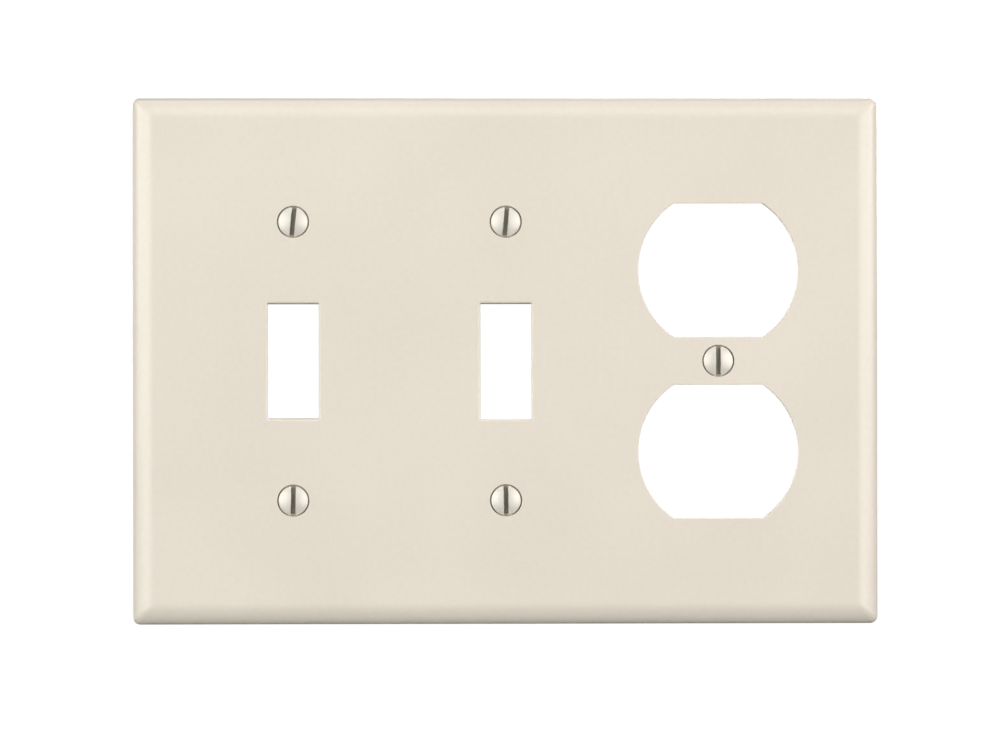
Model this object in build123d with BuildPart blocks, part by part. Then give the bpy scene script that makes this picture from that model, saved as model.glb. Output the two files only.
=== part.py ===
from build123d import *
import os
from math import radians, tan

# Three-gang combination wall plate: two toggle openings and one duplex receptacle opening,
# with its five slotted oval-head screws. Millimetres. The wall is the plane Y = 0 and the
# face of the plate looks along -Y, +Z is up and the origin is the middle of the outline.

# Outline and shell of the plate
single_gang_width = 69.85
gang_pitch = 46.0375
plate_height = 114.3
edge_round = 4.8
rim_land = 0.8
corner_round = 1.6
shell_wall = 2.4
cavity_corner_round = 0.8

# Openings in the face
toggle_width = 11.0
toggle_height = 24.7
toggle_edge_round = 0.5
receptacle_diameter = 34.75
receptacle_height = 28.95
receptacle_pitch = 39.3
receptacle_edge_round = 0.15

# Stiffening on the back of the face
boss_wall = 2.2
boss_height = 1.3
lip_wall = 1.2
lip_height = 0.9
rib_thickness = 1.2
rib_height = 1.3
rib_inset = 8.0

# Screws, 6-32 thread, 1/2 in long, slotted oval head
thread_diameter = 3.505
neck_diameter = 2.9
screw_length = 12.7
tip_chamfer = 0.5
head_diameter = 6.35
head_angle = 82.0
head_land = 0.1
dome_height = 0.7
slot_width = 1.03
slot_depth = 1.2
toggle_screw_spacing = 60.325

# Clearances between the screws and the plate: each head sits in a straight-sided mouth over its seat
hole_clearance = 0.25
seat_clearance = 0.05
mouth_gap = 0.3
mouth_depth = 1.3
head_recess = 0.2
neck_clearance = 0.3

# Sizes that follow from the ones above
gang_x = [-gang_pitch, 0.0, gang_pitch]
toggle_x = gang_x[:2]
receptacle_x = gang_x[2]
plate_width = single_gang_width + (len(gang_x) - 1) * gang_pitch
plate_depth = edge_round + rim_land
cavity_depth = plate_depth - shell_wall
cavity_round = edge_round - shell_wall
head_slope = tan(radians(head_angle / 2))
hole_radius = thread_diameter / 2 + hole_clearance
mouth_radius = head_diameter / 2 + mouth_gap
seat_radius = head_diameter / 2 + seat_clearance - (mouth_depth - head_recess - head_land) * head_slope
boss_radius = hole_radius + boss_wall
rib_z = plate_height / 2 - rib_inset
neck_end = shell_wall + boss_height - head_recess + neck_clearance

# Each screw: node, x, z and the lean of its slot from upright, clockwise seen from the room
screws = [
    ("screw_toggle_left_top", toggle_x[0], toggle_screw_spacing / 2, 5.5),
    ("screw_toggle_left_bottom", toggle_x[0], -toggle_screw_spacing / 2, 1.0),
    ("screw_toggle_middle_top", toggle_x[1], toggle_screw_spacing / 2, 5.0),
    ("screw_toggle_middle_bottom", toggle_x[1], -toggle_screw_spacing / 2, -1.0),
    ("screw_receptacle", receptacle_x, 0.0, 0.0),
]
screw_spots = [(x, z) for _, x, z, _ in screws]
toggle_spots = [(x, 0.0) for x in toggle_x]
receptacle_spots = [(receptacle_x, side * receptacle_pitch / 2) for side in (-1, 1)]


def facing_room(depth, x=0.0, z=0.0):
    """Plane parallel to the wall at this distance in front of it, seen with X right and Z up."""
    return Plane(origin=(x, -depth, z), x_dir=(1, 0, 0), z_dir=(0, -1, 0))


def receptacle_outline(grow=0.0):
    """Receptacle face outline at the current locations: a circle with flat top and bottom."""
    with BuildSketch(mode=Mode.PRIVATE) as outline:
        Circle(receptacle_diameter / 2 + grow)
        Rectangle(receptacle_diameter + 2 * grow, receptacle_height + 2 * grow, mode=Mode.INTERSECT)
    add(outline.sketch)


os.makedirs("parts", exist_ok=True)

# Hollow of the plate, open to the wall: the shell keeps one thickness round the quarter round
with BuildPart() as hollow:
    with BuildSketch(facing_room(0.0)):
        Rectangle(plate_width - 2 * shell_wall, plate_height - 2 * shell_wall)
    extrude(amount=cavity_depth)
    fillet(hollow.faces().sort_by(Axis.Y)[0].edges(), cavity_round)
    cavity_mitres = hollow.edges().filter_by(GeomType.ELLIPSE)
    fillet(cavity_mitres + hollow.edges().filter_by(Axis.Y), cavity_corner_round)

with BuildPart() as wall_plate:
    # Blank with a quarter round from the face to the rim and eased corners
    with BuildSketch(facing_room(0.0)):
        Rectangle(plate_width, plate_height)
    extrude(amount=plate_depth)
    fillet(wall_plate.faces().sort_by(Axis.Y)[0].edges(), edge_round)
    mitres = wall_plate.edges().filter_by(GeomType.ELLIPSE)
    fillet(mitres + wall_plate.edges().filter_by(Axis.Y), corner_round)
    add(hollow.part, mode=Mode.SUBTRACT)

    # Ribs between the gangs, and above and below the device straps, from wall to wall of the shell
    with BuildSketch(facing_room(cavity_depth - rib_height)):
        with Locations((-gang_pitch / 2, 0), (gang_pitch / 2, 0)):
            Rectangle(rib_thickness, plate_height - shell_wall)
        with Locations((0, -rib_z), (0, rib_z)):
            Rectangle(plate_width - shell_wall, rib_thickness)
    extrude(amount=rib_height + shell_wall / 2)

    # Lips round the openings
    with BuildSketch(facing_room(cavity_depth - lip_height)):
        with Locations(*toggle_spots):
            Rectangle(toggle_width + 2 * lip_wall, toggle_height + 2 * lip_wall)
        with Locations(*receptacle_spots):
            receptacle_outline(lip_wall)
    extrude(amount=lip_height + shell_wall / 2)

    # Bosses round the screw holes
    with BuildSketch(facing_room(cavity_depth - boss_height)):
        with Locations(*screw_spots):
            Circle(boss_radius)
    extrude(amount=boss_height + shell_wall / 2)

    # Toggle openings, then their rounded front edges
    with BuildSketch(facing_room(plate_depth)):
        with Locations(*toggle_spots):
            Rectangle(toggle_width, toggle_height)
    extrude(amount=-plate_depth, mode=Mode.SUBTRACT)
    face = wall_plate.faces().filter_by(Axis.Y).sort_by(Axis.Y)[0]
    fillet(face.inner_wires().edges(), toggle_edge_round)

    # Receptacle openings, with a slighter round
    with BuildSketch(facing_room(plate_depth)):
        with Locations(*receptacle_spots):
            receptacle_outline()
    extrude(amount=-plate_depth, mode=Mode.SUBTRACT)
    face = wall_plate.faces().filter_by(Axis.Y).sort_by(Axis.Y)[0]
    round_wires = [wire for wire in face.inner_wires() if wire.edges().filter_by(GeomType.CIRCLE)]
    fillet([edge for wire in round_wires for edge in wire.edges()], receptacle_edge_round)

    # Screw holes: the straight mouth, and the countersunk seat below it
    with Locations(*[facing_room(plate_depth, x, z) for x, z in screw_spots]):
        Hole(mouth_radius, mouth_depth)
    with Locations(*[facing_room(plate_depth - mouth_depth, x, z) for x, z in screw_spots]):
        CounterSinkHole(hole_radius, seat_radius, plate_depth, head_angle)
wall_plate.part.label = "wall_plate"
export_step(wall_plate.part, "parts/wall_plate.step")

# Screws: the profile is half a screw, measured out from the front edge of its head
for name, x, z, lean in screws:
    head_edge = plate_depth - head_recess
    with BuildPart() as screw:
        with BuildSketch(Plane(origin=(x, -head_edge, z), x_dir=(1, 0, 0), z_dir=(0, 0, -1))):
            with BuildLine():
                TangentArc((0, dome_height), (head_diameter / 2, 0), tangent=(1, 0))
                Polyline(
                    (head_diameter / 2, 0),
                    (head_diameter / 2, -head_land),
                    (neck_diameter / 2, -head_land - (head_diameter - neck_diameter) / 2 / head_slope),
                    (neck_diameter / 2, -neck_end),
                    (thread_diameter / 2, -neck_end),
                    (thread_diameter / 2, tip_chamfer - screw_length),
                    (thread_diameter / 2 - tip_chamfer, -screw_length),
                    (0, -screw_length),
                    (0, dome_height),
                )
            make_face()
        revolve(axis=Axis((x, 0, z), (0, -1, 0)))
        with BuildSketch(facing_room(head_edge + dome_height, x, z)):
            Rectangle(slot_width, 2 * head_diameter, rotation=-lean)
        extrude(amount=-slot_depth, mode=Mode.SUBTRACT)
    screw.part.label = name
    export_step(screw.part, f"parts/{name}.step")
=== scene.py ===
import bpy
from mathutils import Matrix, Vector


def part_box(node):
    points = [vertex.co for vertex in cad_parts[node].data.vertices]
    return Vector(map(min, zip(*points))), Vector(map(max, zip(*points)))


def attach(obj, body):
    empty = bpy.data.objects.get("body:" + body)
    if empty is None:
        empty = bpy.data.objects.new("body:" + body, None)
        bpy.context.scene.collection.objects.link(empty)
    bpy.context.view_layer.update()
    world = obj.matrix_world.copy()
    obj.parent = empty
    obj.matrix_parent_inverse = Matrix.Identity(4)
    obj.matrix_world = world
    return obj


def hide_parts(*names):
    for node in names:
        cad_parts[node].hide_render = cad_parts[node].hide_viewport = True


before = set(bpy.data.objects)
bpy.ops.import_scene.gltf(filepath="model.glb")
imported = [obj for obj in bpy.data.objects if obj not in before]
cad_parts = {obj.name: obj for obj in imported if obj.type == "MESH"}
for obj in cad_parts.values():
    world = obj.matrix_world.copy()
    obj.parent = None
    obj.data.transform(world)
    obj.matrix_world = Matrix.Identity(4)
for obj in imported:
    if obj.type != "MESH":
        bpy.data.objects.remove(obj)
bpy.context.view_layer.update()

import math
import bmesh
import bpy
from mathutils import Matrix, Vector
from mathutils.geometry import delaunay_2d_cdt

# ---------------------------------------------------------------------------------------
# Camera. Nearly square on to the face and a metre off, a little to the left of the plate's middle
# and turned to it, with a long lens, so that the plate fills three quarters of the frame's width.
# ---------------------------------------------------------------------------------------
face_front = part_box("wall_plate")[0][1]
eye = Vector((-0.020, face_front - 1.0, -0.0009))
aim = Vector((-0.001285, face_front, -0.00085))
view_width = 0.21651
camera_roll = math.radians(-0.07)
scene = bpy.context.scene
camera_data = bpy.data.cameras.new("camera")
camera_data.lens = camera_data.sensor_width * (aim - eye).length / view_width
camera = bpy.data.objects.new("camera", camera_data)
scene.collection.objects.link(camera)
look = (aim - eye).to_track_quat("-Z", "Y").to_matrix().to_4x4()
camera.matrix_world = Matrix.Translation(eye) @ look @ Matrix.Rotation(camera_roll, 4, "Z")
scene.camera = camera

# ---------------------------------------------------------------------------------------
# Studio. White backdrop, a pale floor well below the plate, and a large soft box at either side of
# the camera. Slimmer ones beside, above and behind the plate lift its edges and its back.
# ---------------------------------------------------------------------------------------
floor_z, floor_half = -1.3, 1.0
backdrop_strength, fill_strength = 1.02, 0.03


def hex_colour(code, alpha=1.0):
    """sRGB hex such as "E5DECE" as a linear colour."""
    values = [int(code[i:i + 2], 16) / 255 for i in (0, 2, 4)]
    return [v / 12.92 if v <= 0.04045 else ((v + 0.055) / 1.055) ** 2.4 for v in values] + [alpha]


def add_node(tree, kind, inputs=(), **settings):
    """A node with its settings. Its inputs go by name, or else in turn, and each is given as a value, as the
    socket that feeds it, or as the node whose first output does."""
    made = tree.nodes.new(kind)
    for name, value in settings.items():
        setattr(made, name, value)
    for key, value in inputs.items() if isinstance(inputs, dict) else enumerate(inputs):
        if isinstance(value, bpy.types.Node):
            value = value.outputs[0]
        if isinstance(value, bpy.types.NodeSocket):
            tree.links.new(value, made.inputs[key])
        else:
            made.inputs[key].default_value = value
    return made


scene.view_settings.view_transform = "Standard"

world = bpy.data.worlds.new("white room")
world.use_nodes = True
scene.world = world
sky = world.node_tree
sky.nodes.clear()
rays = add_node(sky, "ShaderNodeLightPath")
seen = add_node(sky, "ShaderNodeBackground", {"Color": (1, 1, 1, 1), "Strength": backdrop_strength})
fill = add_node(sky, "ShaderNodeBackground", {"Color": hex_colour("FBF9F4"), "Strength": fill_strength})
both = add_node(sky, "ShaderNodeMixShader", [rays.outputs["Is Camera Ray"], fill, seen])
add_node(sky, "ShaderNodeOutputWorld", {"Surface": both})

floor_mesh = bpy.data.meshes.new("floor")
floor_corners = [(-floor_half, -floor_half, floor_z), (floor_half, -floor_half, floor_z),
                 (floor_half, floor_half, floor_z), (-floor_half, floor_half, floor_z)]
floor_mesh.from_pydata(floor_corners, [], [(0, 1, 2, 3)])
floor = bpy.data.objects.new("floor", floor_mesh)
scene.collection.objects.link(floor)
floor_paint = bpy.data.materials.new("matt pale floor")
floor_paint.use_nodes = True
floor_skin = floor_paint.node_tree.nodes["Principled BSDF"]
floor_skin.inputs["Base Color"].default_value = hex_colour("F2F1EE")
floor_skin.inputs["Roughness"].default_value = 0.8
floor_mesh.materials.append(floor_paint)


def soft_box(name, place, width, height, power, colour="FFFFFF"):
    """Rectangular soft box standing at place and turned to the plate. Metres and watts."""
    data = bpy.data.lights.new(name, "AREA")
    data.shape = "RECTANGLE"
    data.size, data.size_y = width, height
    data.energy = power
    data.color = hex_colour(colour)[:3]
    lamp = bpy.data.objects.new(name, data)
    scene.collection.objects.link(lamp)
    facing = (-Vector(place)).to_track_quat("-Z", "Y").to_matrix().to_4x4()
    lamp.matrix_world = Matrix.Translation(place) @ facing


soft_box("soft box left", (-0.87, -0.97, 0.13), 1.1, 1.0, 9.9)
soft_box("soft box right", (0.87, -0.97, 0.13), 1.1, 1.0, 9.9, "FFFAFE")
soft_box("strip left", (-1.16, -0.16, 0.40), 0.6, 1.0, 6.6)
soft_box("strip right", (1.16, -0.16, 0.40), 0.6, 1.0, 7.0)
soft_box("strip above", (0.0, -0.71, 0.84), 1.2, 0.6, 2.7)
soft_box("strip behind", (0.0, 0.35, 1.0), 1.2, 0.4, 1.8)
soft_box("back light left", (0.38, 1.35, 0.42), 0.8, 0.7, 9.0)
soft_box("back light right", (-0.40, 1.30, 0.05), 0.5, 0.6, 3.5)

# ---------------------------------------------------------------------------------------
# Wall plate. One shell compression-moulded in light almond urea thermoset, with quarter-round edges,
# and ribs, lips and bosses on the back of its face. Its screws clamp it to the wall.
# Sizes are in millimetres, and depth is counted out from the wall plane.
# ---------------------------------------------------------------------------------------
mm, metre = 0.001, 1000
plate_low, plate_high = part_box("wall_plate")
half_width = (plate_high[0] - plate_low[0]) / 2 * metre
half_height = (plate_high[2] - plate_low[2]) / 2 * metre
face_depth = -plate_low[1] * metre
edge_round = 4.8
rim_land = face_depth - edge_round
outline_corner = 1.6
face_corner, corner_fade = 0.45, 0.8
back_edge_break = 0.2
shell_wall = 2.4
cavity_depth = face_depth - shell_wall
cavity_corner = 0.8
wall_draft = 0.06
arris = 0.15
root_round = 0.25
flank_draft = 0.05
flat_margin = 0.3
plate_sharp_angle = math.radians(38)

gang_pitch = 46.0375
# A toggle opening's half width and half height: at the back it is a little wider and less tall
toggle_front, toggle_back = (5.5, 12.50), (5.6, 12.37)
toggle_corner = 0.15
toggle_edge = 0.5
receptacle_radius = 17.375
receptacle_flat = 14.475
receptacle_pitch = 39.3
receptacle_edge = 0.15
receptacle_draft = 0.1
lip_wall, lip_height = 1.2, 0.9
rib_half, rib_height, rib_inset = 0.6, 1.3, 8.0
hole_radius, seat_radius = 2.0025, 2.3557
mouth_radius, mouth_depth, mouth_edge = 3.475, 1.3, 0.07
sink_slope = math.tan(math.radians(41))
boss_radius, boss_height = hole_radius + 2.2, 1.3
pin_mark_radius, pin_mark_depth, pin_mark_edge = 2.6, 0.1, 0.12

toggle_x = (-gang_pitch, 0.0)
receptacles = [(gang_pitch, side * receptacle_pitch / 2) for side in (-1, 1)]
screw_nodes = [n for n in sorted(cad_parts) if n.startswith("screw_")]
screw_spots = [[(a + b) / 2 * metre for a, b in zip(*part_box(n))][::2] for n in screw_nodes]
rib_x = (-gang_pitch / 2, gang_pitch / 2)
rib_z = (-(half_height - rib_inset), half_height - rib_inset)
pin_marks = [(x, z) for x in (-64.5, -14.6, 14.6, 70.4) for z in (-24.0, 24.0)]
pin_marks += [(-31.5, 38.0), (-31.5, -38.0), (31.0, 40.5), (31.0, -40.5)]


def eased_rectangle(half_x, half_z, radius, middle=(0.0, 0.0), steps=8):
    """Closed loop round a rectangle with rounded corners, anticlockwise as the room sees it."""
    loop = []
    for turn, (sx, sz) in enumerate(((1, 1), (-1, 1), (-1, -1), (1, -1))):
        for step in range(steps + 1):
            angle = math.pi / 2 * (turn + step / steps)
            loop.append((middle[0] + sx * (half_x - radius) + radius * math.cos(angle),
                         middle[1] + sz * (half_z - radius) + radius * math.sin(angle)))
    return loop


def outline(inset, radius):
    """The plate's outline drawn in by inset."""
    return eased_rectangle(half_width - inset, half_height - inset, radius)


def toggle_outline(x, grow, half=toggle_back):
    """A toggle opening's edge at the back, or at the front, grown outwards."""
    return eased_rectangle(half[0] + grow, half[1] + grow, toggle_corner + grow, (x, 0.0), 4)


def receptacle_outline(x, z, grow, steps=40):
    """A receptacle opening's edge, grown outwards: two arcs joined by flats."""
    radius = receptacle_radius + grow
    reach = math.asin((receptacle_flat + grow) / radius)
    loop = []
    for start in (0.0, math.pi):
        for step in range(steps + 1):
            angle = start - reach + 2 * reach * step / steps
            loop.append((x + radius * math.cos(angle), z + radius * math.sin(angle)))
    return loop


def circle(x, z, radius, steps=48):
    """Closed loop round a circle."""
    turns = [2 * math.pi * k / steps for k in range(steps)]
    return [(x + radius * math.cos(angle), z + radius * math.sin(angle)) for angle in turns]


def rounded(step, steps, radius):
    """How far along and how far down a quarter-round edge is at this step, from the flat to the wall."""
    angle = math.pi / 2 * step / steps
    return radius * (1 - math.sin(angle)), radius * (1 - math.cos(angle))


plate_bm = bmesh.new()


def ring(loop, depth):
    """Vertices of one loop at one depth."""
    return [plate_bm.verts.new((x * mm, -depth * mm, z * mm)) for x, z in loop]


def bands(rings):
    """Quads from each ring to the next, which has as many vertices."""
    for one, other in zip(rings, rings[1:]):
        count = len(one)
        for k in range(count):
            plate_bm.faces.new((one[k], one[(k + 1) % count], other[(k + 1) % count], other[k]))


# Outside: the rim's back edge, the land, the quarter round and the start of the flat face
outside = []
back_edge_steps, front_edge_steps = 4, 20
for step in range(back_edge_steps + 1):
    along, down = rounded(step, back_edge_steps, back_edge_break)
    outside.append(ring(outline(along, outline_corner), down))
for step in range(front_edge_steps + 1):
    angle = math.pi / 2 * step / front_edge_steps
    inset = edge_round * (1 - math.cos(angle))
    radius = outline_corner + (face_corner - outline_corner) * (inset / edge_round) ** corner_fade
    outside.append(ring(outline(inset, radius), rim_land + edge_round * math.sin(angle)))
outside.append(ring(outline(edge_round + flat_margin, face_corner), face_depth))
bands(outside)

face_loops, face_rings, back_loops, back_rings = [], [], [], []


def cut_wall(front_loop, wall, back_loop):
    """Faces down one opening's wall, whose two ends the face and the back will be filled up to."""
    bands(wall)
    face_loops.append(front_loop)
    face_rings.append(wall[0])
    back_loops.append(back_loop)
    back_rings.append(wall[-1])


def cut_opening(draw, edge, back_loop, steps=6):
    """An opening's wall, from the flat face over its rounded edge and in to the crest of its lip."""
    wall = [ring(draw(edge + flat_margin), face_depth)]
    for along, down in (rounded(step, steps, edge) for step in range(steps + 1)):
        wall.append(ring(draw(along), face_depth - down))
    wall.append(ring(back_loop, cavity_depth - lip_height + arris))
    cut_wall(draw(edge + flat_margin), wall, back_loop)


def cut_screw_hole(x, z, steps=4):
    """A screw hole's wall: rounded edge, straight mouth, ledge, countersunk seat and clearance hole."""
    seat_end = mouth_depth + (seat_radius - hole_radius) / sink_slope
    wall = [ring(circle(x, z, mouth_radius + flat_margin), face_depth)]
    for along, down in (rounded(step, steps, mouth_edge) for step in range(steps + 1)):
        wall.append(ring(circle(x, z, mouth_radius + along), face_depth - down))
    wall.append(ring(circle(x, z, mouth_radius), face_depth - mouth_depth))
    wall.append(ring(circle(x, z, seat_radius), face_depth - mouth_depth))
    wall.append(ring(circle(x, z, hole_radius), face_depth - seat_end))
    wall.append(ring(circle(x, z, hole_radius), cavity_depth - boss_height + arris))
    cut_wall(circle(x, z, mouth_radius + flat_margin), wall, circle(x, z, hole_radius))


for x in toggle_x:
    cut_opening(lambda grow: toggle_outline(x, grow, toggle_front), toggle_edge, toggle_outline(x, 0.0))
for x, z in receptacles:
    cut_opening(lambda grow: receptacle_outline(x, z, grow), receptacle_edge,
                receptacle_outline(x, z, receptacle_draft))
for x, z in screw_spots:
    cut_screw_hole(x, z)


def inside(point, loop):
    """Whether a point lies inside a closed loop."""
    x, z = point
    odd = False
    for (ax, az), (bx, bz) in zip(loop, loop[1:] + loop[:1]):
        if (az > z) != (bz > z) and x < (bx - ax) * (z - az) / (bz - az) + ax:
            odd = not odd
    return odd


def fill_between(outer, holes, rings, lines, depth_at, tolerance=1e-5):
    """Triangles over the region inside outer and outside the holes, with every loop and line as an edge.
    rings holds the vertices that outer and the holes already have, and depth_at gives the rest theirs,
    from their place and the bare depth of the loop they are on, if it has one."""
    points, edges, known, bare = [], [], [], []
    for loop, made in zip([outer] + holes, rings):
        start = len(points)
        points += [Vector(p) for p in loop]
        known += made
        bare += [None] * len(loop)
        edges += [(start + k, start + (k + 1) % len(loop)) for k in range(len(loop))]
    for line, closed, depth in lines:
        start = len(points)
        points += [Vector(p) for p in line]
        known += [None] * len(line)
        bare += [depth] * len(line)
        edges += [(start + k, start + k + 1) for k in range(len(line) - 1)]
        edges += [(start + len(line) - 1, start)] if closed else []
    verts, _, faces, sources, _, _ = delaunay_2d_cdt(points, edges, [], 0, tolerance)
    made = []
    for place, source in zip(verts, sources):
        have = [known[k] for k in source if known[k] is not None]
        if have:
            made.append(have[0])
        else:
            shell = next((bare[k] for k in source if bare[k] is not None), None)
            made += ring([place], depth_at(*place, shell))
    for face in faces:
        middle = [sum(verts[k][axis] for k in face) / len(face) for axis in (0, 1)]
        if inside(middle, outer) and not any(inside(middle, hole) for hole in holes):
            plate_bm.faces.new([made[k] for k in face])


fill_between(outline(edge_round + flat_margin, face_corner), face_loops, [outside[-1]] + face_rings, [],
             lambda x, z, shell: face_depth)


def stands(gap, height):
    """Height of a rib, lip or boss at this gap outside it: rounded crest, drafted flank, root fillet."""
    if gap <= -arris:
        return height
    if gap <= 0:
        return height - arris + math.sqrt(arris ** 2 - (gap + arris) ** 2)
    if gap <= flank_draft:
        return height - arris + (root_round - height + arris) * gap / flank_draft
    if gap <= flank_draft + root_round:
        return root_round - math.sqrt(root_round ** 2 - (flank_draft + root_round - gap) ** 2)
    return 0.0


def arris_drop(gap):
    """How far the rounded arris at the edge of a hole falls at this gap from the hole's wall."""
    gap = min(max(gap, 0.0), arris)
    return arris - math.sqrt(arris ** 2 - (arris - gap) ** 2)


cove_radius = edge_round - shell_wall - wall_draft
cove_floor = cavity_depth - rim_land
same_depth = 1e-6


def shell_depth(inset):
    """Depth of the bare shell's back at this inset: rim, arris, drafted wall, cove and floor."""
    if inset <= shell_wall - arris:
        return 0.0
    if inset <= shell_wall:
        return arris_drop(shell_wall - inset)
    if inset <= shell_wall + wall_draft:
        return arris + (rim_land - arris) * (inset - shell_wall) / wall_draft
    across = (edge_round - inset) / cove_radius
    return rim_land + cove_floor * math.sqrt(max(0.0, 1 - max(across, 0.0) ** 2))


def back_depth(x, z, shell=None):
    """Depth of the finished back at this place: whichever of its features stands nearest the wall."""
    inset = min(half_width - abs(x), half_height - abs(z))
    depth = shell_depth(inset) if shell is None else shell
    if depth >= cavity_depth - same_depth:
        depth = cavity_depth
        for px, pz in pin_marks:
            gap = math.hypot(x - px, z - pz) - pin_mark_radius
            depth += pin_mark_depth * min(max(-gap / pin_mark_edge, 0.0), 1.0)
    for rx in rib_x:
        depth = min(depth, cavity_depth - stands(abs(x - rx) - rib_half, rib_height))
    for rz in rib_z:
        depth = min(depth, cavity_depth - stands(abs(z - rz) - rib_half, rib_height))
    for tx in toggle_x:
        off_x = abs(x - tx) - toggle_back[0] + toggle_corner
        off_z = abs(z) - toggle_back[1] + toggle_corner
        gap = math.hypot(max(off_x, 0.0), max(off_z, 0.0)) + min(max(off_x, off_z), 0.0) - toggle_corner
        depth = min(depth, cavity_depth - stands(gap - lip_wall, lip_height) + arris_drop(gap))
    for cx, cz in receptacles:
        gap = max(math.hypot(x - cx, z - cz) - receptacle_radius, abs(z - cz) - receptacle_flat)
        gap -= receptacle_draft
        depth = min(depth, cavity_depth - stands(gap - lip_wall, lip_height) + arris_drop(gap))
    for sx, sz in screw_spots:
        away = math.hypot(x - sx, z - sz)
        crest = cavity_depth - stands(away - boss_radius, boss_height)
        depth = min(depth, crest + arris_drop(away - hole_radius))
    return max(depth, 0.0)


# Back: every offset of the rim, cove, ribs, lips, bosses and pin marks where the surface bends
flank_gaps = [-arris, -0.11, -0.045, 0.0, flank_draft, 0.085, 0.14, 0.21, flank_draft + root_round, 0.6]
arris_gaps = [0.02, 0.065, arris]
back_lines = []
rim_insets = [shell_wall - arris, shell_wall - 0.06, shell_wall - 0.015, shell_wall, shell_wall + wall_draft]
rim_insets += [edge_round - cove_radius * math.cos(math.pi / 2 * k / 12) for k in range(1, 13)]
for inset in rim_insets + [edge_round + 0.25]:
    back_lines.append((outline(inset, cavity_corner), True, shell_depth(inset)))
reach_x, reach_z = half_width - shell_wall, half_height - shell_wall
for gap in flank_gaps:
    for side in (-1, 1):
        for rx in rib_x:
            x = rx + side * (rib_half + gap)
            back_lines.append(([(x, -reach_z), (x, reach_z)], False, None))
        for rz in rib_z:
            z = rz + side * (rib_half + gap)
            back_lines.append(([(-reach_x, z), (reach_x, z)], False, None))
    for x in toggle_x:
        back_lines.append((toggle_outline(x, lip_wall + gap), True, None))
    for x, z in receptacles:
        back_lines.append((receptacle_outline(x, z, receptacle_draft + lip_wall + gap), True, None))
    for x, z in screw_spots:
        back_lines.append((circle(x, z, boss_radius + gap), True, None))
for gap in arris_gaps:
    back_lines += [(toggle_outline(x, gap), True, None) for x in toggle_x]
    back_lines += [(receptacle_outline(x, z, receptacle_draft + gap), True, None) for x, z in receptacles]
    back_lines += [(circle(x, z, hole_radius + gap), True, None) for x, z in screw_spots]
for x, z in pin_marks:
    for gap in (-pin_mark_edge, 0.0, 0.3):
        back_lines.append((circle(x, z, pin_mark_radius + gap, 32), True, None))

fill_between(outline(back_edge_break, outline_corner), back_loops, [outside[0]] + back_rings,
             back_lines, back_depth)

bmesh.ops.remove_doubles(plate_bm, verts=plate_bm.verts, dist=1e-7)
bmesh.ops.recalc_face_normals(plate_bm, faces=plate_bm.faces)
unpolished_depth, least_turned_back = cavity_depth + 0.2, -0.2
for face in plate_bm.faces:
    behind = -face.calc_center_median().y < unpolished_depth * mm
    face.smooth = True
    face.material_index = 1 if behind and face.normal.y > least_turned_back else 0
plate_mesh = bpy.data.meshes.new("wall_plate_moulding")
plate_bm.to_mesh(plate_mesh)
plate_bm.free()
plate_mesh.set_sharp_from_angle(angle=plate_sharp_angle)
plate = bpy.data.objects.new("wall_plate_moulding", plate_mesh)
scene.collection.objects.link(plate)


def new_finish(name):
    """A material with its tree, its principled shader and the object coordinates its patterns read."""
    material = bpy.data.materials.new(name)
    material.use_nodes = True
    where = add_node(material.node_tree, "ShaderNodeTexCoord").outputs["Object"]
    return material, material.node_tree, material.node_tree.nodes["Principled BSDF"], where


def dress(tree, skin, cover, sheen, tints, roughness, relief, depth, strength):
    """Links a finish: cover picks the tint, sheen the roughness, and relief is raised by depth in mm."""
    tint = add_node(tree, "ShaderNodeMix", {
        "Factor": cover, "A": hex_colour(tints[0]), "B": hex_colour(tints[1])}, data_type="RGBA")
    gloss = add_node(tree, "ShaderNodeMapRange", [sheen, 0.3, 0.7, *roughness])
    raised = add_node(tree, "ShaderNodeBump", {
        "Strength": strength, "Distance": depth * mm, "Height": relief})
    tree.links.new(tint.outputs["Result"], skin.inputs["Base Color"])
    tree.links.new(gloss.outputs["Result"], skin.inputs["Roughness"])
    tree.links.new(raised.outputs["Normal"], skin.inputs["Normal"])


# Urea thermoset, compression moulded and light almond. The polished mould leaves a low gloss with a
# faint orange peel, and the cellulose filler gives the colour a fine mottle.
mottle_width, cloud_width, peel_width = 1.111, 35.71, 2.381
urea, tree, skin, where = new_finish("urea thermoset light almond, polished side")
skin.inputs["IOR"].default_value = 1.55
mottle = add_node(tree, "ShaderNodeTexNoise", {
    "Vector": where, "Scale": metre / mottle_width, "Detail": 3.0, "Roughness": 0.6})
cloud = add_node(tree, "ShaderNodeTexNoise", {
    "Vector": where, "Scale": metre / cloud_width, "Detail": 2.0})
peel = add_node(tree, "ShaderNodeTexNoise", {
    "Vector": where, "Scale": metre / peel_width, "Detail": 2.0, "Roughness": 0.5})
blend = add_node(tree, "ShaderNodeMath", [mottle, cloud], operation="ADD")
share = add_node(tree, "ShaderNodeMapRange", [blend, 0.7, 1.3, 0.0, 1.0])
dress(tree, skin, share, cloud, ("E5DECE", "EAE3D3"), (0.30, 0.36), peel, 0.04, 0.25)
plate_mesh.materials.append(urea)

# The same moulding's back, from the unpolished half of the mould: duller, with wide flow marks and a
# fine grain.
flow_width, grain_width = 16.67, 0.6667
urea_back, tree, skin, where = new_finish("urea thermoset light almond, as-moulded side")
skin.inputs["IOR"].default_value = 1.55
flow = add_node(tree, "ShaderNodeTexNoise", {
    "Vector": where, "Scale": metre / flow_width, "Detail": 4.0, "Distortion": 1.2})
grain = add_node(tree, "ShaderNodeTexNoise", {
    "Vector": where, "Scale": metre / grain_width, "Detail": 2.0})
dress(tree, skin, flow, flow, ("DDD5C5", "E6DFD0"), (0.48, 0.62), grain, 0.03, 0.4)
plate_mesh.materials.append(urea_back)

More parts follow.
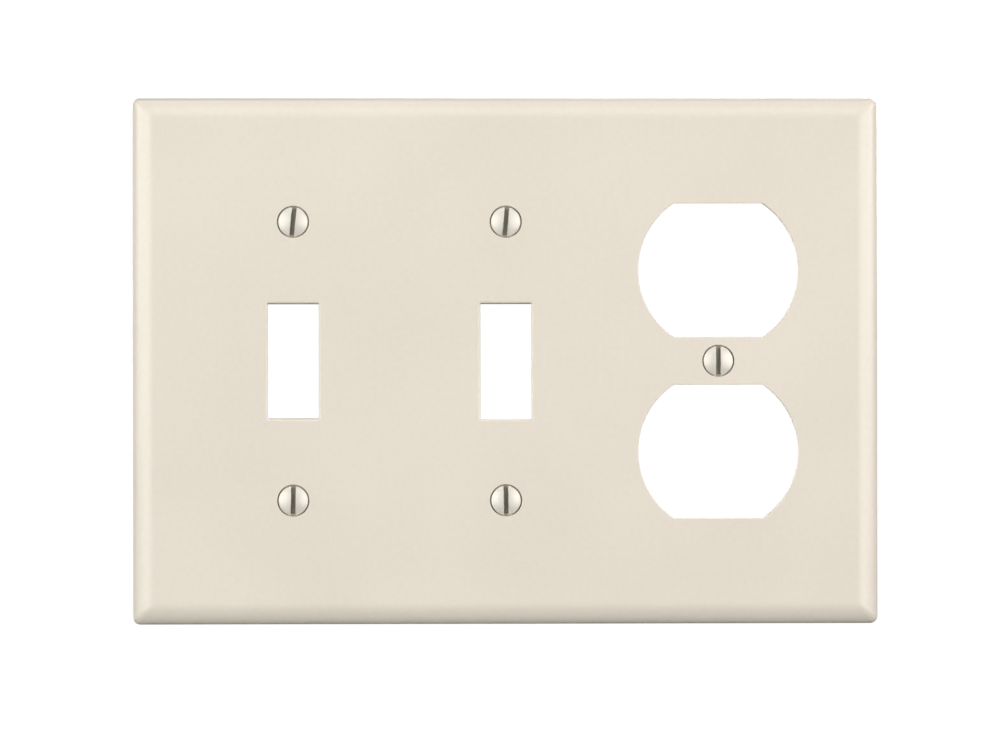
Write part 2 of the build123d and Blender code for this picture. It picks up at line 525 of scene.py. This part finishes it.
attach(plate, "plate")
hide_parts("wall_plate")

# ---------------------------------------------------------------------------------------
# Screws. Five 6-32 by half-inch oval-head machine screws of zinc-plated steel, cold-formed, sawn and
# thread-rolled, with heads sprayed off-white. Each sits in its countersink and backs out along -Y.
# Sizes are in millimetres, measured into the wall from the head's edge.
# ---------------------------------------------------------------------------------------
head_radius, neck_radius, head_recess = 3.175, 1.45, 0.2
screw_sizes = {
    "Head Radius": head_radius, "Dome Height": 0.69, "Head Land": 0.1,
    "Cone Length": (head_radius - neck_radius) / sink_slope, "Neck Radius": neck_radius,
    "Thread Start": 3.8, "Thread End": 12.2, "Crest Radius": 1.7525, "Root Radius": 1.32, "Pitch": 0.79375,
    "Length": 12.7, "Tip Radius": 1.2525, "Slot Width": 1.03, "Slot Depth": 1.2, "Slot Wander": 0.05,
}
slot_lean = {"screw_toggle_left_top": 5.5, "screw_toggle_left_bottom": 1.0, "screw_toggle_middle_top": 5.0,
             "screw_toggle_middle_bottom": -1.0, "screw_receptacle": 0.0}
dome_rows, tooth_rows, around = 12, 8, 48
tooth_slope, tooth_gap, run_out_turns = 1.5, 0.28, 0.7
sprayed_share, saw_clearance, saw_steps = 0.3, 1.0, 40
screw_sharp_angle = math.radians(35)
thread_turns = (screw_sizes["Thread End"] - screw_sizes["Thread Start"]) / screw_sizes["Pitch"]
thread_rows = math.ceil((thread_turns + 1) * tooth_rows)

# Zinc-plated steel, barrel plated: grey metal with a fine sparkle, drawn coarser than it is, at 0.4 mm,
# so that it shows.
spangle_width = 0.4
zinc, tree, skin, where = new_finish("zinc-plated steel, bare thread and slot")
skin.inputs["Metallic"].default_value = 1.0
spangle = add_node(tree, "ShaderNodeTexNoise", {
    "Vector": where, "Scale": metre / spangle_width, "Detail": 3.0, "Roughness": 0.7})
dress(tree, skin, spangle, spangle, ("9E9B8D", "C6C2B4"), (0.30, 0.46), spangle, 0.02, 0.3)

# Sprayed enamel over the plated head: a thin off-white coat that lets a little of the bright metal
# through, so that it looks pearly, and slightly uneven, as a small sprayed part is.
coat_width, spray_width = 2.0, 0.7143
enamel, tree, skin, where = new_finish("sprayed enamel, off-white gloss")
skin.inputs["IOR"].default_value = 1.52
skin.inputs["Metallic"].default_value = 0.2
coat = add_node(tree, "ShaderNodeTexNoise", {
    "Vector": where, "Scale": metre / coat_width, "Detail": 3.0})
spray = add_node(tree, "ShaderNodeTexNoise", {
    "Vector": where, "Scale": metre / spray_width, "Detail": 1.0})
dress(tree, skin, coat, coat, ("E0DCCE", "EAE6D9"), (0.33, 0.43), spray, 0.03, 0.3)

# The screw's own tree: a grid wrapped round the axis. Its rows step along the profile from the crown to
# the tip, and the thread's are sheared by one pitch a turn, so that crest and root follow the helix.
screw_tree = bpy.data.node_groups.new("oval head screw", "GeometryNodeTree")
screw_tree.interface.new_socket("Geometry", in_out="OUTPUT", socket_type="NodeSocketGeometry")
for name in screw_sizes:
    screw_tree.interface.new_socket(name, in_out="INPUT", socket_type="NodeSocketFloat")
screw_tree.interface.new_socket("Head Edge", in_out="INPUT", socket_type="NodeSocketVector")
screw_tree.interface.new_socket("Slot Lean", in_out="INPUT", socket_type="NodeSocketFloat")
screw_tree.interface.new_socket("Seed", in_out="INPUT", socket_type="NodeSocketFloat")
screw_tree.interface.new_socket("Enamel", in_out="INPUT", socket_type="NodeSocketMaterial")
screw_tree.interface.new_socket("Plating", in_out="INPUT", socket_type="NodeSocketMaterial")
given = add_node(screw_tree, "NodeGroupInput").outputs

# Rows and columns: the grid's own X is the turn round the axis, and its Y counts the rows
thread_row = dome_rows + 5
last_row = thread_row + thread_rows + 4
position = add_node(screw_tree, "GeometryNodeInputPosition")
sheet = add_node(screw_tree, "GeometryNodeMeshGrid", {
    "Size X": 1.0, "Size Y": 1.0, "Vertices X": around + 1, "Vertices Y": last_row + 1})
on_sheet = add_node(screw_tree, "ShaderNodeSeparateXYZ", [position]).outputs
turn = add_node(screw_tree, "ShaderNodeMath", [on_sheet["X"], 0.5], operation="ADD")
share = add_node(screw_tree, "ShaderNodeMath", [on_sheet["Y"], 0.5], operation="ADD")
share = add_node(screw_tree, "ShaderNodeMath", [share, float(last_row)], operation="MULTIPLY")
row = add_node(screw_tree, "ShaderNodeMath", [share], operation="ROUND")

# Crown: part of a sphere
squares = add_node(screw_tree, "ShaderNodeMath", [given["Dome Height"], 2.0], operation="POWER")
squares = add_node(screw_tree, "ShaderNodeMath", [given["Head Radius"], given["Head Radius"], squares],
                   operation="MULTIPLY_ADD")
twice_dome = add_node(screw_tree, "ShaderNodeMath", [given["Dome Height"], 2.0], operation="MULTIPLY")
crown_radius = add_node(screw_tree, "ShaderNodeMath", [squares, twice_dome], operation="DIVIDE")
sine = add_node(screw_tree, "ShaderNodeMath", [given["Head Radius"], crown_radius], operation="DIVIDE")
widest = add_node(screw_tree, "ShaderNodeMath", [sine], operation="ARCSINE")
share = add_node(screw_tree, "ShaderNodeMapRange", [row, 0, dome_rows, 0.0, 1.0])
crown_angle = add_node(screw_tree, "ShaderNodeMath", [widest, share], operation="MULTIPLY")
sine = add_node(screw_tree, "ShaderNodeMath", [crown_angle], operation="SINE")
crown_out = add_node(screw_tree, "ShaderNodeMath", [crown_radius, sine], operation="MULTIPLY")
cosine = add_node(screw_tree, "ShaderNodeMath", [crown_angle], operation="COSINE")
fall = add_node(screw_tree, "ShaderNodeMath", [1.0, cosine], operation="SUBTRACT")
crown_down = add_node(screw_tree, "ShaderNodeMath", [crown_radius, fall], operation="MULTIPLY")

# Head: the short land at its edge, the cone under it and the neck
land_down = add_node(screw_tree, "ShaderNodeMapRange", [
    row, dome_rows, dome_rows + 1, 0.0, given["Head Land"]])
share = add_node(screw_tree, "ShaderNodeMapRange", [row, dome_rows + 1, dome_rows + 4, 0.0, 1.0])
cone_down = add_node(screw_tree, "ShaderNodeMath", [share, given["Cone Length"]], operation="MULTIPLY")
cone_width = add_node(screw_tree, "ShaderNodeMath", [given["Head Radius"], given["Neck Radius"]],
                      operation="SUBTRACT")
cone_in = add_node(screw_tree, "ShaderNodeMath", [share, cone_width], operation="MULTIPLY")
head_length = add_node(screw_tree, "ShaderNodeMath", [given["Head Land"], given["Cone Length"]],
                       operation="ADD")
neck_length = add_node(screw_tree, "ShaderNodeMath", [given["Thread Start"], head_length],
                       operation="SUBTRACT")
neck_down = add_node(screw_tree, "ShaderNodeMapRange", [row, dome_rows + 4, thread_row, 0.0, neck_length])

# Thread: each row follows the helix, and is held between the thread's ends
rows_down = add_node(screw_tree, "ShaderNodeMath", [row, float(thread_row)], operation="SUBTRACT")
tooth_count = add_node(screw_tree, "ShaderNodeMath", [rows_down, float(tooth_rows)], operation="DIVIDE")
turns = add_node(screw_tree, "ShaderNodeMath", [tooth_count, turn], operation="ADD")
turns = add_node(screw_tree, "ShaderNodeMath", [turns, 1.0], operation="SUBTRACT")
advance = add_node(screw_tree, "ShaderNodeMath", [turns, given["Pitch"]], operation="MULTIPLY")
advance = add_node(screw_tree, "ShaderNodeMath", [advance, 0.0], operation="MAXIMUM")
thread_length = add_node(screw_tree, "ShaderNodeMath", [given["Thread End"], given["Thread Start"]],
                         operation="SUBTRACT")
thread_down = add_node(screw_tree, "ShaderNodeMath", [advance, thread_length], operation="MINIMUM")

# Tooth: eight rows that rise to a flat crest and fall again
share = add_node(screw_tree, "ShaderNodeMath", [tooth_count], operation="FRACT")
share = add_node(screw_tree, "ShaderNodeMath", [share, 2.0, -1.0], operation="MULTIPLY_ADD")
share = add_node(screw_tree, "ShaderNodeMath", [share], operation="ABSOLUTE")
wave = add_node(screw_tree, "ShaderNodeMath", [1.0, share], operation="SUBTRACT")
tooth = add_node(screw_tree, "ShaderNodeMath", [wave, tooth_slope, -tooth_gap], operation="MULTIPLY_ADD",
                 use_clamp=True)

# Run-in and run-out: the tooth grows over the first turn and dies away over the last
run_in = add_node(screw_tree, "ShaderNodeMath", [thread_down, given["Pitch"]], operation="DIVIDE",
                  use_clamp=True)
remaining = add_node(screw_tree, "ShaderNodeMath", [thread_length, thread_down], operation="SUBTRACT")
run_length = add_node(screw_tree, "ShaderNodeMath", [given["Pitch"], run_out_turns], operation="MULTIPLY")
run_out = add_node(screw_tree, "ShaderNodeMath", [remaining, run_length], operation="DIVIDE", use_clamp=True)
tooth = add_node(screw_tree, "ShaderNodeMath", [tooth, run_out], operation="MULTIPLY")
tooth_height = add_node(screw_tree, "ShaderNodeMath", [given["Crest Radius"], given["Root Radius"]],
                        operation="SUBTRACT")
root_step = add_node(screw_tree, "ShaderNodeMath", [given["Root Radius"], given["Neck Radius"]],
                     operation="SUBTRACT")
thread_step = add_node(screw_tree, "ShaderNodeMath", [tooth, tooth_height, root_step],
                       operation="MULTIPLY_ADD")
thread_out = add_node(screw_tree, "ShaderNodeMath", [thread_step, run_in], operation="MULTIPLY")

# Tip: short chamfer and a flat end closed at its middle
tip_row, end_row = last_row - 4, last_row - 2
tip_length = add_node(screw_tree, "ShaderNodeMath", [given["Length"], given["Thread End"]],
                      operation="SUBTRACT")
tip_down = add_node(screw_tree, "ShaderNodeMapRange", [row, tip_row, end_row, 0.0, tip_length])
tip_width = add_node(screw_tree, "ShaderNodeMath", [given["Root Radius"], given["Tip Radius"]],
                     operation="SUBTRACT")
tip_in = add_node(screw_tree, "ShaderNodeMapRange", [row, tip_row, end_row, 0.0, tip_width])
end_in = add_node(screw_tree, "ShaderNodeMapRange", [row, end_row, last_row, 0.0, given["Tip Radius"]])

# Each row's distance from the axis and its depth are sums of those, and the turn wraps it round the axis
out = add_node(screw_tree, "ShaderNodeMath", [crown_out, thread_out], operation="ADD")
for inward in (cone_in, tip_in, end_in):
    out = add_node(screw_tree, "ShaderNodeMath", [out, inward], operation="SUBTRACT")
down = add_node(screw_tree, "ShaderNodeMath", [crown_down, given["Dome Height"]], operation="SUBTRACT")
for length in (land_down, cone_down, neck_down, thread_down, tip_down):
    down = add_node(screw_tree, "ShaderNodeMath", [down, length], operation="ADD")
angle = add_node(screw_tree, "ShaderNodeMath", [turn, 2 * math.pi], operation="MULTIPLY")
sine = add_node(screw_tree, "ShaderNodeMath", [angle], operation="SINE")
cosine = add_node(screw_tree, "ShaderNodeMath", [angle], operation="COSINE")
sideways = add_node(screw_tree, "ShaderNodeMath", [out, sine], operation="MULTIPLY")
upwards = add_node(screw_tree, "ShaderNodeMath", [out, cosine], operation="MULTIPLY")
wrapped = add_node(screw_tree, "ShaderNodeCombineXYZ", [sideways, down, upwards])
blank = add_node(screw_tree, "GeometryNodeSetPosition", {"Geometry": sheet, "Position": wrapped})
closed = add_node(screw_tree, "GeometryNodeMergeByDistance", {"Geometry": blank, "Distance": 0.002})

# Only the crown, the land and the top of the cone get enamel
edge_depth = add_node(screw_tree, "ShaderNodeMath", [given["Cone Length"], sprayed_share],
                      operation="MULTIPLY")
at_face = add_node(screw_tree, "ShaderNodeSeparateXYZ", [position]).outputs
sprayed = add_node(screw_tree, "ShaderNodeMath", [at_face["Y"], edge_depth], operation="LESS_THAN")
marked = add_node(screw_tree, "GeometryNodeStoreNamedAttribute", {
    "Geometry": closed, "Name": "painted", "Value": sprayed}, data_type="FLOAT", domain="FACE")

# Saw slot: cut right across the crown, wandering a little where enamel has built up on its edges
saw_height = add_node(screw_tree, "ShaderNodeMath", [given["Slot Depth"], saw_clearance], operation="ADD")
saw_length = add_node(screw_tree, "ShaderNodeMath", [given["Head Radius"], 3.0], operation="MULTIPLY")
saw_size = add_node(screw_tree, "ShaderNodeCombineXYZ", [given["Slot Width"], saw_height, saw_length])
saw = add_node(screw_tree, "GeometryNodeMeshCube", {"Size": saw_size, "Vertices Z": saw_steps})
along = add_node(screw_tree, "ShaderNodeVectorMath", [position, (1.0, 0.0, 1.0)], operation="MULTIPLY")
ripple = add_node(screw_tree, "ShaderNodeTexNoise", {
    "Vector": along, "W": given["Seed"], "Scale": 0.9, "Detail": 2.0}, noise_dimensions="4D")
ripple = add_node(screw_tree, "ShaderNodeMath", [ripple, 0.5], operation="SUBTRACT")
wander = add_node(screw_tree, "ShaderNodeMath", [given["Slot Wander"], 4.0], operation="MULTIPLY")
wander = add_node(screw_tree, "ShaderNodeMath", [ripple, wander], operation="MULTIPLY")
aside = add_node(screw_tree, "ShaderNodeCombineXYZ", [wander])
ragged = add_node(screw_tree, "GeometryNodeSetPosition", {"Geometry": saw, "Offset": aside})
slot_floor = add_node(screw_tree, "ShaderNodeMath", [given["Slot Depth"], given["Dome Height"]],
                      operation="SUBTRACT")
saw_middle = add_node(screw_tree, "ShaderNodeMath", [saw_height, -0.5, slot_floor], operation="MULTIPLY_ADD")
saw_place = add_node(screw_tree, "ShaderNodeCombineXYZ", {"Y": saw_middle})
placed_saw = add_node(screw_tree, "GeometryNodeTransform", {"Geometry": ragged, "Translation": saw_place})
bare = add_node(screw_tree, "GeometryNodeStoreNamedAttribute", {
    "Geometry": placed_saw, "Name": "painted", "Value": 0.0}, data_type="FLOAT", domain="FACE")
sawn = add_node(screw_tree, "GeometryNodeMeshBoolean", {
    "Mesh 1": marked, "Mesh 2": bare}, operation="DIFFERENCE", solver="EXACT")
arrises = add_node(screw_tree, "GeometryNodeStoreNamedAttribute", {
    "Geometry": sawn, "Selection": sawn.outputs["Intersecting Edges"],
    "Name": "bevel_weight_edge", "Value": 1.0}, data_type="FLOAT", domain="EDGE")

# Seat it: turn the slot, go to the head's edge, and give each face its finish
lean = add_node(screw_tree, "ShaderNodeCombineXYZ", {"Y": given["Slot Lean"]})
seated = add_node(screw_tree, "GeometryNodeTransform", {
    "Geometry": arrises, "Rotation": lean, "Translation": given["Head Edge"], "Scale": (mm, mm, mm)})
single = add_node(screw_tree, "GeometryNodeRealizeInstances", {"Geometry": seated})
plated = add_node(screw_tree, "GeometryNodeSetMaterial", {"Geometry": single, "Material": given["Plating"]})
mark = add_node(screw_tree, "GeometryNodeInputNamedAttribute", {"Name": "painted"}, data_type="FLOAT")
painted = add_node(screw_tree, "ShaderNodeMath", [mark, 0.5], operation="GREATER_THAN")
finished = add_node(screw_tree, "GeometryNodeSetMaterial", {
    "Geometry": plated, "Selection": painted, "Material": given["Enamel"]})
add_node(screw_tree, "NodeGroupOutput", [finished])

screw_inputs = {item.name: item.identifier for item in screw_tree.interface.items_tree
                if item.item_type == "SOCKET" and item.in_out == "INPUT"}
for place, (node_name, (x, z)) in enumerate(zip(screw_nodes, screw_spots)):
    maker = bpy.data.objects.new(node_name + "_blank", bpy.data.meshes.new(node_name + "_blank"))
    scene.collection.objects.link(maker)
    shape = maker.modifiers.new("oval head screw", "NODES")
    shape.node_group = screw_tree
    for name, size in screw_sizes.items():
        shape[screw_inputs[name]] = size
    shape[screw_inputs["Head Edge"]] = (x * mm, -(face_depth - head_recess) * mm, z * mm)
    shape[screw_inputs["Slot Lean"]] = math.radians(slot_lean[node_name])
    shape[screw_inputs["Seed"]] = 3.0 + 7.0 * place
    shape[screw_inputs["Enamel"]] = enamel
    shape[screw_inputs["Plating"]] = zinc
    eased = maker.modifiers.new("slot arrises", "BEVEL")
    eased.limit_method = "WEIGHT"
    eased.width = 0.05 * mm
    eased.segments = 2
    screw_mesh = bpy.data.meshes.new_from_object(maker.evaluated_get(bpy.context.evaluated_depsgraph_get()))
    bpy.data.objects.remove(maker)
    screw_mesh.name = node_name + "_oval_head"
    clean = bmesh.new()
    clean.from_mesh(screw_mesh)
    bmesh.ops.recalc_face_normals(clean, faces=clean.faces)
    for face in clean.faces:
        face.smooth = True
    clean.to_mesh(screw_mesh)
    clean.free()
    screw_mesh.set_sharp_from_angle(angle=screw_sharp_angle)
    screw = bpy.data.objects.new(node_name + "_oval_head", screw_mesh)
    scene.collection.objects.link(screw)
    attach(screw, node_name + "_body")
    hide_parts(node_name)
